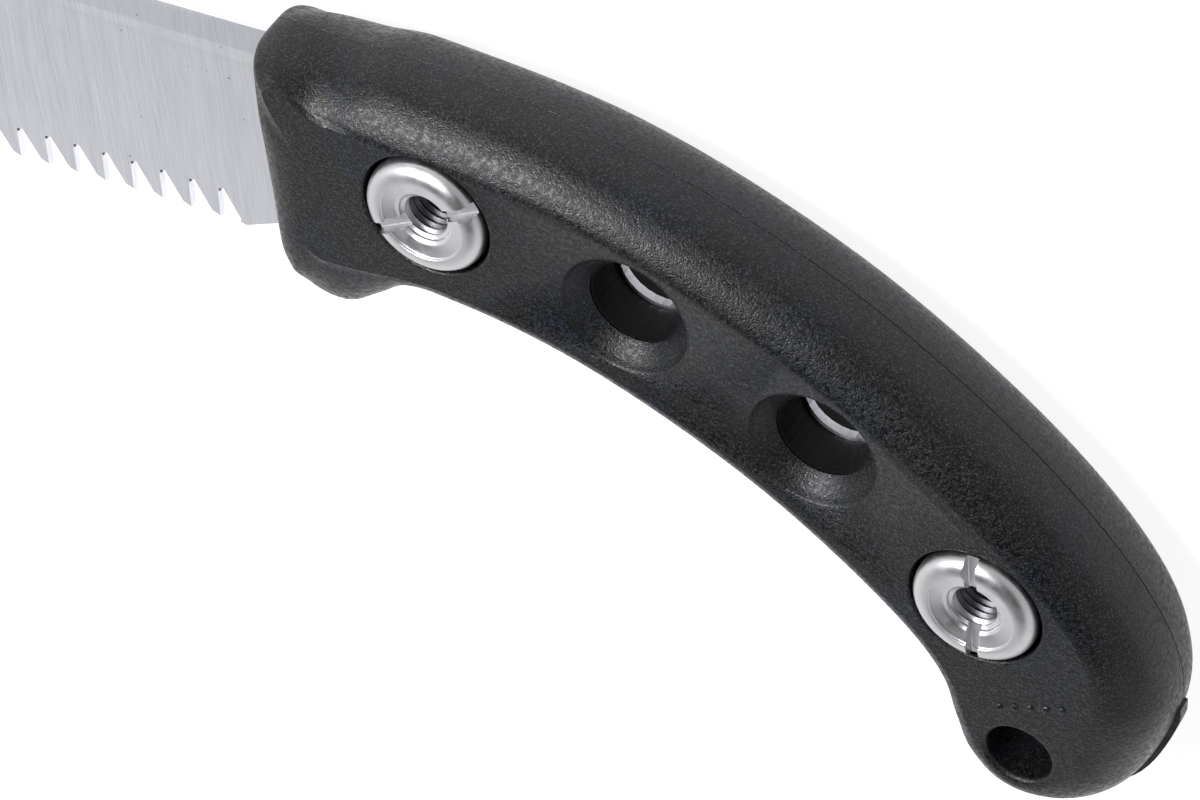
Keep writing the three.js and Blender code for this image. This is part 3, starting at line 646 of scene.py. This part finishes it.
@dataclass
class Grip:
    """The one-piece moulded grip, its seats, open holes, lanyard hole, parting line and pips.

    Lengths are in millimetres and angles in degrees. The groove's half width is in levels of a
    section, and the rib's ends are numbers of stations.
    """

    spine: float = 167.5
    belly: float = 128.9
    bead_width: float = 8.2
    belly_round: float = 5.5
    blade_width: float = 42.15
    steps: int = 8
    rows_per_level: int = 4
    groove_half: float = 0.03
    groove_depth: float = 0.16
    core_half: float = 8.3
    core_ends: Span = (-26.35, 25.65)
    core_radii: Span = (160.3, 135.2)
    heel_half: float = 1.05
    cut_over: float = 3.0
    bore: float = 7.2
    seat: float = 10.7
    seat_lip: float = 0.5
    seat_floor: float = 7.5
    seat_ease: Span = (0.6, 0.06)
    sink: float = 10.4
    sink_depth: float = 3.7
    lanyard: float = 5.3
    lanyard_lip: float = 0.9
    lanyard_over: float = 2.0
    lanyard_place: Span = (-30.3, 134.9)
    rib_ends: Span = (9.2, 12.4)
    rib_steps: int = 16
    rib_height: float = 0.8
    rib_least: float = 0.05
    rib_root: float = 2.0
    rib_half: float = 1.3
    pips: int = 5
    pip_start: Span = (-26.4, 137.8)
    pip_step: Span = (-0.30, 2.6)
    finish: Finish = field(default_factory=Elastomer)

    def stations(self, nut_side: bool = True) -> list[Station]:
        """Outline points on the middle plane, on the panel's edge, and the section between them.

        Args:
            nut_side: whether the stations are those of the nut side, where the nose is fuller.

        Returns:
            One entry for each station, round the grip.
        """
        polar, front = HANDLE.polar, HANDLE.front
        back, low = self.spine, self.belly
        out, panel_in, wide = back - self.bead_width, low + self.belly_round, self.blade_width
        bead, butt, belly, lobe = Section.BEAD, Section.BUTT, Section.BELLY, Section.LOBE
        nose = [front(-6.5, 9.0), front(-9.0, 6.5), polar(25.8, out - 1.0), polar(22.6, out - 1.6)]
        if nut_side:
            nose = [
                front(-4.6, 1.8), polar(28.7, out + 3.6),
                polar(26.6, out - 0.6), polar(22.9, out - 1.6),
            ]
        return [
            (front(0, -1.9), nose[0], Section.CORNER),
            (front(-2.7, -3.2), nose[1], Section.NOSE),
            (polar(26.6, back - 2.3), nose[2], Section.NOSE),
            (polar(23.0, back - 1.8), nose[3], bead),
            (polar(11.0, back - 0.6), polar(11.0, out), bead),
            (polar(-2.0, back), polar(-2.0, out), bead),
            (polar(-14.0, back - 0.2), polar(-14.0, out), bead),
            (polar(-22.5, back - 1.2), polar(-21.5, out - 0.2), bead),
            (polar(-27.5, back - 3.6), polar(-25.6, out - 2.2), bead),
            (polar(-31.0, back - 8.2), polar(-28.3, out - 7.2), butt),
            (polar(-33.8, back - 16.0), polar(-30.4, out - 12.8), butt),
            (polar(-35.9, back - 24.5), polar(-32.0, panel_in + 8.0), butt),
            (polar(-36.3, low + 6.6), polar(-32.9, panel_in + 2.5), butt),
            (polar(-35.0, low + 0.2), polar(-33.0, panel_in - 2.0), butt),
            (polar(-32.6, low - 4.8), polar(-32.0, panel_in - 4.9), butt),
            (polar(-29.6, low - 6.2), polar(-29.6, panel_in - 5.8), butt),
            (polar(-26.6, low - 4.4), polar(-27.0, panel_in - 4.4), belly),
            (polar(-23.4, low - 1.2), polar(-23.6, panel_in - 1.3), belly),
            (polar(-19.0, low), polar(-19.0, panel_in), belly),
            (polar(-6.0, low), polar(-6.0, panel_in), belly),
            (polar(8.0, low), polar(8.0, panel_in), belly),
            (polar(17.5, low - 0.6), polar(17.5, panel_in - 0.8), belly),
            (polar(21.5, low - 2.3), polar(21.4, panel_in - 2.0), lobe),
            (polar(24.6, low - 8.2), polar(23.9, panel_in - 3.1), lobe),
            (front(-9.2, wide + 4.2), front(-13.4, wide - 10.1), lobe),
            (front(-3.2, wide + 2.7), front(-9.2, wide - 10.4), lobe),
            (front(-0.8, wide - 1.6), front(-7.6, wide - 12.6), Section.CHIN),
            (front(0, wide - 7.2), front(-8.2, wide - 16.0), Section.FRONT),
            (front(0, wide - 18.15), front(-9.0, wide - 21.95), Section.FRONT),
            (front(0, 10.0), front(-8.6, 12.5), Section.FRONT),
        ]

    def levels(self) -> list[float]:
        """Levels of the skin's rows, from the lower panel to the upper one, close at the groove."""
        top = len(Section.BEAD.value) - 1
        half = [n / self.rows_per_level for n in range(1, top * self.rows_per_level + 1)]
        half = [self.groove_half, 2 * self.groove_half, *half]
        return [-level for level in reversed(half)] + [0.0] + half

    def skin(self) -> bpy.types.Object:
        """The closed outer skin, bent from a flat grid whose seam and ends are then closed."""
        sides = self.stations(True), self.stations(False)
        levels = self.levels()
        columns = len(sides[0]) * self.steps
        Bench.take()
        bpy.ops.mesh.primitive_grid_add(x_subdivisions=columns, y_subdivisions=len(levels) - 1, size=1)
        piece = bpy.context.object
        piece.name = "grip_moulding"
        for vertex in piece.data.vertices:
            column = round((vertex.co.x + 0.5) * columns) % columns
            level = levels[round((vertex.co.y + 0.5) * (len(levels) - 1))]
            vertex.co = self.skin_point(sides[level < 0], column, level)
        Bench.edit_all(piece)
        bpy.ops.mesh.remove_doubles(threshold=MERGE)
        bpy.ops.mesh.fill_holes(sides=0)
        Bench.close()
        return piece

    def edges(self, stations: list[Station], number: int, share: float) -> list[Vector]:
        """Flat points of the outline and of the panel's edge between two stations.

        Args:
            stations: the grip's stations.
            number: the station before the points.
            share: share of the way to the next station.

        Returns:
            The outer and the inner point.
        """
        around = [stations[(number + offset) % len(stations)] for offset in (-1, 0, 1, 2)]
        return [smooth_step(*(station[line] for station in around), share, 0.5) for line in (0, 1)]

    def skin_point(self, stations: list[Station], column: int, level: float) -> Vector:
        """Place of one vertex of the skin.

        Args:
            stations: the grip's stations.
            column: number of the vertex along the outline.
            level: its level, negative on the bolt side.

        Returns:
            The point in the row frame, in metres.
        """
        number, part = divmod(column, self.steps)
        share = part / self.steps
        outer, inner = self.edges(stations, number, share)
        ease = share * share * (3 - 2 * share)
        near, far = (stations[(number + offset) % len(stations)][2] for offset in (0, 1))
        here = near.at(abs(level)).lerp(far.at(abs(level)), ease)
        flat = outer.lerp(inner, here.x)
        if level == 0:
            flat += (inner - outer).normalized() * self.groove_depth
        return HANDLE.place(flat.x, flat.y, math.copysign(here.y, level))

    def cavity(self) -> list[bpy.types.Object]:
        """Cutters for the space that holds the core and the blade's heel."""
        (rear, fore), (outer, inner) = self.core_ends, self.core_radii
        core = HANDLE.arc(rear, fore, outer) + HANDLE.arc(fore, rear, inner)
        mouth = [
            HANDLE.front(8, -0.1), HANDLE.front(8, self.blade_width + 0.6),
            HANDLE.front(-3.0, 37.9), HANDLE.front(-7.5, 33.5), HANDLE.front(-16.0, 24.0),
            HANDLE.front(-12.0, 4.0), HANDLE.front(-4.0, 0.2),
        ]
        return [
            Bench.plate("core_space", core, -self.core_half, self.core_half),
            Bench.plate("heel_space", mouth, -self.heel_half, self.heel_half),
        ]

    @staticmethod
    def lip(radius: float, rounding: float, steps: int) -> Profile:
        """Profile of a hole's rounded mouth on the nut side, from its wall out to the panel."""
        return [
            (radius + rounding * (1 - math.cos(a)), PANEL - rounding * (1 - math.sin(a)))
            for a in (math.pi / 2 * n / steps for n in range(steps + 1))
        ]

    @staticmethod
    def mirrored(upper: Profile) -> Profile:
        """Profile of a cutter that is the same on both sides, from its upper half."""
        return [(r, -z) for r, z in reversed(upper)] + upper

    def hole_cutters(self) -> list[bpy.types.Object]:
        """Cutters for the two head seats on each side, the two open holes and the lanyard hole."""
        cutters = []
        for number in (0, HANDLE.last_hole):
            for side in (1, -1):
                profile = [(r, side * z) for r, z in self.seat_profile()]
                cutters.append(Bench.turned("seat_space", profile, HANDLE.hole(number)))
        for number in range(1, HANDLE.last_hole):
            cutters.append(Bench.turned("open_hole", self.open_profile(), HANDLE.hole(number)))
        top = PANEL + self.lanyard_over
        upper = self.lip(self.lanyard, self.lanyard_lip, 5)
        upper += [(self.lanyard + self.lanyard_lip, top), (0, top)]
        spot = HANDLE.polar(*self.lanyard_place)
        cutters.append(Bench.turned("lanyard_space", self.mirrored(upper), spot, steps=64))
        return cutters

    def seat_profile(self) -> Profile:
        """Profile of a head's seat on the nut side: flat floor, straight wall and rounded lip."""
        out, rise = self.seat_ease
        wide, top = self.seat + self.seat_lip + out, PANEL + self.cut_over
        profile = [(0, self.seat_floor), (self.seat, self.seat_floor)]
        profile += self.lip(self.seat, self.seat_lip, 6)
        return profile + [(wide, PANEL + rise), (wide, top), (0, top)]

    def open_profile(self) -> Profile:
        """Profile of an open hole: a dished flare on each side of a straight bore."""
        rim, foot, top, low = self.sink, self.bore, PANEL, PANEL - self.sink_depth
        upper = [(foot, low - 0.3), (foot + 0.12, low + 0.1), (foot + 0.5, low + 0.55)]
        upper += [(foot + 1.4, low + 1.5), (rim - 0.75, low + 2.4), (rim - 0.25, top - 0.62)]
        upper += [(rim - 0.03, top - 0.28), (rim + 0.16, top - 0.08), (rim + 0.4, top + 0.02)]
        upper += [(rim + 0.6, top + self.cut_over), (0, top + self.cut_over)]
        return self.mirrored(upper)

    def rib(self) -> bpy.types.Object:
        """The low moulding rib along the middle of the butt."""
        stations = self.stations()
        first, last = self.rib_ends
        edge, root = [], []
        for n in range(self.rib_steps + 1):
            along = n / self.rib_steps
            where = first + (last - first) * n / self.rib_steps
            outer, inner = self.edges(stations, int(where), where % 1)
            # full height but for the first sixteenth and the last quarter of its length
            rise = self.rib_height * min(1, 4 * (1 - along), 8 * along + 0.5)
            way = (outer - inner).normalized()
            edge.append(outer + way * max(rise, self.rib_least))
            root.append(outer - way * self.rib_root)
        return Bench.plate("butt_rib", [*edge, *reversed(root)], -self.rib_half, self.rib_half)

    def pip_row(self) -> bpy.types.Object:
        """A row of small raised pips on the panel between the rear nut and the lanyard hole."""
        dome = [(0, 0.34), (0.35, 0.30), (0.62, 0.16), (0.75, -0.1), (0.75, -0.4), (0, -0.4)]
        profile = [(r, PANEL + z) for r, z in dome]
        (angle, radius), (turn, rise) = self.pip_start, self.pip_step
        row = []
        for n in range(self.pips):
            spot = HANDLE.polar(angle + turn * n, radius + rise * n)
            row.append(Bench.turned("mould_pips", profile, spot, steps=24))
        return Bench.join(row)

    def build(self) -> None:
        """Models the grip and its pips, and puts them on the handle in the rubber's place."""
        moulding = self.skin()
        Bench.carve(moulding, [self.rib()], union=True)
        Bench.carve(moulding, self.cavity() + self.hole_cutters())
        Bench.smooth(moulding, 32)
        pips = self.pip_row()
        Bench.smooth(pips, 50)
        for piece in (moulding, pips):
            self.finish.dress(piece)
            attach(piece, "handle")
            LOG.info("%s: %d faces", piece.name, len(piece.data.polygons))
        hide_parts("rubber_grip")


# ------------------------------------------------------------------ fasteners
@dataclass
class ClampSet:
    """One sleeve nut, its bolt and its spring washer.

    Lengths are in millimetres, with heights from the middle plane, and turns are in degrees.
    """

    place: str
    hole: int
    nut_turn: float
    bolt_turn: float
    head: float = 10.0
    crown: float = 1.6
    drop: float = 0.95
    ring: float = 7.05
    ring_steps: tuple[Span, ...] = ((0.08, 0.06), (0.14, 0.3), (0.26, 0.42))
    bore_steps: tuple[Span, ...] = ((0.75, 0.66), (0.35, 0.86), (0.06, 1.2), (0, 1.55))
    seat: float = 8.3
    sleeve: float = 6.2
    sleeve_end: float = -5.9
    minor: float = 3.6
    major: float = 4.2
    pitch: float = 1.25
    threads: int = 5
    thread_start: float = 1.85
    crest_half: float = 0.06
    root_half: float = 0.05
    bolt_lift: float = 0.1
    bolt_dome: float = 1.8
    bolt_seat: float = -10.5
    bolt_gap: float = 0.3
    shank: float = 3.2
    shank_end: float = 3.5
    slot_width: float = 2.0
    slot_depth: float = 2.1
    slot_reach: float = 2.4
    slot_round: float = 0.25
    edge_break: float = 0.09
    edge_angle: float = 38.0
    finish: Finish = field(default_factory=SatinNickel)
    washer_finish: Finish = field(default_factory=SpringSteel)

    def nut(self) -> bpy.types.Object:
        """Sleeve nut with a rounded ring head, a stepped mouth and a threaded bore."""
        top, rim, steps = PANEL + self.crown, PANEL - self.drop, 12
        width, rise = self.head - self.ring, self.crown + self.drop
        profile = [
            (self.minor, self.sleeve_end), (self.sleeve - 0.3, self.sleeve_end),
            (self.sleeve, self.sleeve_end + 0.3), (self.sleeve, self.seat - 0.25),
            (self.sleeve + 0.25, self.seat), (self.head - 0.5, self.seat),
            (self.head, self.seat + 0.5), (self.head, rim),
        ]
        for n in range(1, steps + 1):
            a = math.pi / 2 * n / steps
            profile.append((self.ring + width * math.cos(a) ** 0.8, rim + rise * math.sin(a) ** 0.85))
        profile += [(self.ring - inward, top - down) for inward, down in self.ring_steps]
        profile += [(self.major + outward, top - down) for outward, down in self.bore_steps]
        start = top - self.thread_start
        for n in range(self.threads):
            crest = start - n * self.pitch
            root = crest - self.pitch / 2
            profile += [
                (self.minor, crest + self.crest_half), (self.minor, crest - self.crest_half),
                (self.major, root + self.root_half), (self.major, root - self.root_half),
            ]
        profile += [(self.minor, start - self.threads * self.pitch), profile[0]]
        piece = Bench.turned(f"{self.place}_nut_body", profile, HANDLE.hole(self.hole))
        self.slot(piece, top, self.nut_turn)
        return piece

    def bolt(self) -> bpy.types.Object:
        """Bolt with a domed slotted head and a collar through the washer."""
        crown, steps = -PANEL - self.crown + self.bolt_lift, 14
        rim, under, collar = crown + self.bolt_dome, self.bolt_seat, self.sleeve_end - self.bolt_gap
        profile = [(0, crown)]
        for n in range(1, steps + 1):
            a = math.pi / 2 * n / steps
            profile.append((self.head * math.sin(a), crown + self.bolt_dome * (1 - math.cos(a)) ** 0.9))
        profile += [
            (self.head, rim + 0.2), (self.head, under - 0.4), (self.head - 0.4, under),
            (self.sleeve, under), (self.sleeve, collar - 0.2), (self.sleeve - 0.2, collar),
            (self.shank, collar), (self.shank, self.shank_end - 0.6),
            (self.shank - 0.6, self.shank_end), (0, self.shank_end),
        ]
        piece = Bench.turned(f"{self.place}_bolt_body", profile, HANDLE.hole(self.hole))
        self.slot(piece, crown, self.bolt_turn)
        return piece

    def slot(self, piece: bpy.types.Object, height: float, turn: float) -> None:
        """Cuts the driver slot across a head and breaks its edges.

        Args:
            piece: the nut or bolt.
            height: the head's crown, in millimetres from the middle plane.
            turn: the slot's angle in the handle frame, in degrees.
        """
        size = (self.slot_reach * self.head, self.slot_width, 2 * self.slot_depth)
        centre = HANDLE.hole(self.hole)
        Bench.carve(piece, [Bench.bar("slot_space", size, centre, height, turn, self.slot_round)])
        Bench.modify(
            piece, "BEVEL", width=self.edge_break * MM, segments=2, limit_method="ANGLE",
            angle_limit=math.radians(self.edge_angle), use_clamp_overlap=True,
        )

    def build(self) -> None:
        """Models the nut and bolt, and dresses them and the washer."""
        for piece, node, body in (
            (self.nut(), f"{self.place}_sleeve_nut", f"{self.place}_nut"),
            (self.bolt(), f"{self.place}_bolt", f"{self.place}_bolt_set"),
        ):
            Bench.smooth(piece, 30)
            self.finish.dress(piece)
            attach(piece, body)
            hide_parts(node)
            LOG.info("%s: %d faces", piece.name, len(piece.data.polygons))
        self.washer_finish.dress(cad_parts[f"{self.place}_spring_washer"])


# ------------------------------------------------------------------ blade and core
@dataclass
class BladeAndCore:
    """The steel blade and the nylon core, which keep their CAD shape."""

    steel: Finish = field(default_factory=GroundSteel)
    nylon: Finish = field(default_factory=Nylon)

    def build(self) -> None:
        """Dresses both nodes."""
        self.steel.dress(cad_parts["saw_blade"])
        self.nylon.dress(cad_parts["handle_core"])
        LOG.info("saw_blade and handle_core: dressed")


# ------------------------------------------------------------------ stage
@dataclass
class Stage:
    """Pale floor, soft studio light and the camera.

    Directions are in the handle frame. The camera's lengths and the key light's aim are in
    millimetres there, and the floor, the clipping and the light's own size are in metres.
    """

    lens: float = 138.0
    sensor: float = 36.0
    clip: Span = (0.01, 50.0)
    forward: Triple = (0.046, 0.788, -0.613)
    right: Triple = (-0.813, -0.327, -0.481)
    distance: float = 674.0
    aim_right: float = 25.6
    aim_down: float = 26.9
    floor_size: float = 12.0
    floor_gap: float = 0.0002
    paper: tuple[Triple, Triple] = ((0.30, 0.295, 0.30), (0.32, 0.315, 0.32))
    paper_glow: float = 0.88
    wall_top: Span = (0.58, 0.80)
    ceiling: float = 0.02
    spine_wall: float = 0.5
    spine_fall: Span = (-0.7, 0.6)
    key_way: Triple = (0.50, -0.27, 0.84)
    key_aim: Triple = (-30.0, 0.0, 0.0)
    key_power: float = 16.0
    key_size: float = 0.42
    key_distance: float = 1.0

    def camera(self) -> None:
        """Places the camera, in the handle frame's axes."""
        forward, right = Vector(self.forward).normalized(), Vector(self.right).normalized()
        down = forward.cross(right).normalized()
        right = down.cross(forward)
        spot = Vector((0, 0, PANEL)) + right * self.aim_right + down * self.aim_down
        spot -= forward * self.distance
        data = bpy.data.cameras.new("camera")
        data.lens, data.sensor_width = self.lens, self.sensor
        data.clip_start, data.clip_end = self.clip
        camera = bpy.data.objects.new("camera", data)
        bpy.context.scene.collection.objects.link(camera)
        axes = [HANDLE.heading(*axis) for axis in (right, -down, -forward)]
        turn = Matrix(axes).transposed().to_4x4()
        camera.matrix_world = Matrix.Translation(HANDLE.place(*spot)) @ turn
        bpy.context.scene.camera = camera

    def key_light(self) -> None:
        """Adds the one square soft light, turned towards the grip."""
        data = bpy.data.lights.new("key", "AREA")
        data.energy, data.size = self.key_power, self.key_size
        lamp = bpy.data.objects.new("key", data)
        bpy.context.scene.collection.objects.link(lamp)
        heading = HANDLE.heading(*Vector(self.key_way).normalized())
        lamp.location = HANDLE.place(*self.key_aim) + heading * self.key_distance
        lamp.rotation_euler = (-heading).to_track_quat("-Z", "Y").to_euler()

    def floor(self) -> None:
        """A wide pale floor under the bolt heads, slightly lit from within so that it stays white."""
        Bench.take()
        bpy.ops.mesh.primitive_plane_add(size=self.floor_size, location=(0, 0, -self.floor_gap))
        floor = bpy.context.object
        floor.name = "floor"
        shader = Shader("floor_paper")
        tone = shader.noise(3, 2, 0.5)
        shader.wire(Base_Color=shader.blend(tone, *self.paper))
        shader.fix(Roughness=0.9, Emission_Color=(1, 1, 1, 1), Emission_Strength=self.paper_glow)
        floor.data.materials.append(shader.material)

    def world(self) -> None:
        """A white room with a dark ceiling and a greyer wall on the spine's side."""
        world = bpy.data.worlds.new("room")
        world.use_nodes = True
        bpy.context.scene.world = world
        tree = world.node_tree
        background = tree.nodes["Background"]
        place = tree.nodes.new("ShaderNodeTexCoord")
        split = tree.nodes.new("ShaderNodeSeparateXYZ")
        ramp = tree.nodes.new("ShaderNodeMapRange")
        ramp.interpolation_type = "SMOOTHSTEP"
        ramp.inputs[1].default_value, ramp.inputs[2].default_value = self.wall_top
        ramp.inputs[3].default_value, ramp.inputs[4].default_value = 1.0, self.ceiling
        tree.links.new(place.outputs["Generated"], split.inputs[0])
        tree.links.new(split.outputs["Z"], ramp.inputs[0])
        side = tree.nodes.new("ShaderNodeVectorMath")
        side.operation = "DOT_PRODUCT"
        side.inputs[1].default_value = HANDLE.heading(0, 1, 0)
        fall = tree.nodes.new("ShaderNodeMapRange")
        fall.inputs[1].default_value, fall.inputs[2].default_value = self.spine_fall
        fall.inputs[3].default_value, fall.inputs[4].default_value = self.spine_wall, 1.0
        both = tree.nodes.new("ShaderNodeMath")
        both.operation = "MULTIPLY"
        tree.links.new(place.outputs["Generated"], side.inputs[0])
        tree.links.new(side.outputs["Value"], fall.inputs[0])
        tree.links.new(ramp.outputs[0], both.inputs[0])
        tree.links.new(fall.outputs[0], both.inputs[1])
        tree.links.new(both.outputs[0], background.inputs["Strength"])
        background.inputs["Color"].default_value = (1, 1, 1, 1)

    def build(self) -> None:
        """Sets the stage."""
        bpy.context.scene.view_settings.view_transform = "Standard"
        self.camera()
        self.world()
        self.floor()
        self.key_light()


def main() -> None:
    """Builds the stage and each sub-assembly in order."""
    logging.basicConfig(level=logging.INFO, format="%(name)s: %(message)s")
    Stage().build()
    Grip().build()
    worn = SatinNickel("satin_nickel_worn", wear=0.2)
    ClampSet("front", hole=0, nut_turn=54.0, bolt_turn=-35.0).build()
    ClampSet("rear", HANDLE.last_hole, nut_turn=117.6, bolt_turn=8.0, finish=worn).build()
    BladeAndCore().build()


if __name__ == "__main__":
    main()
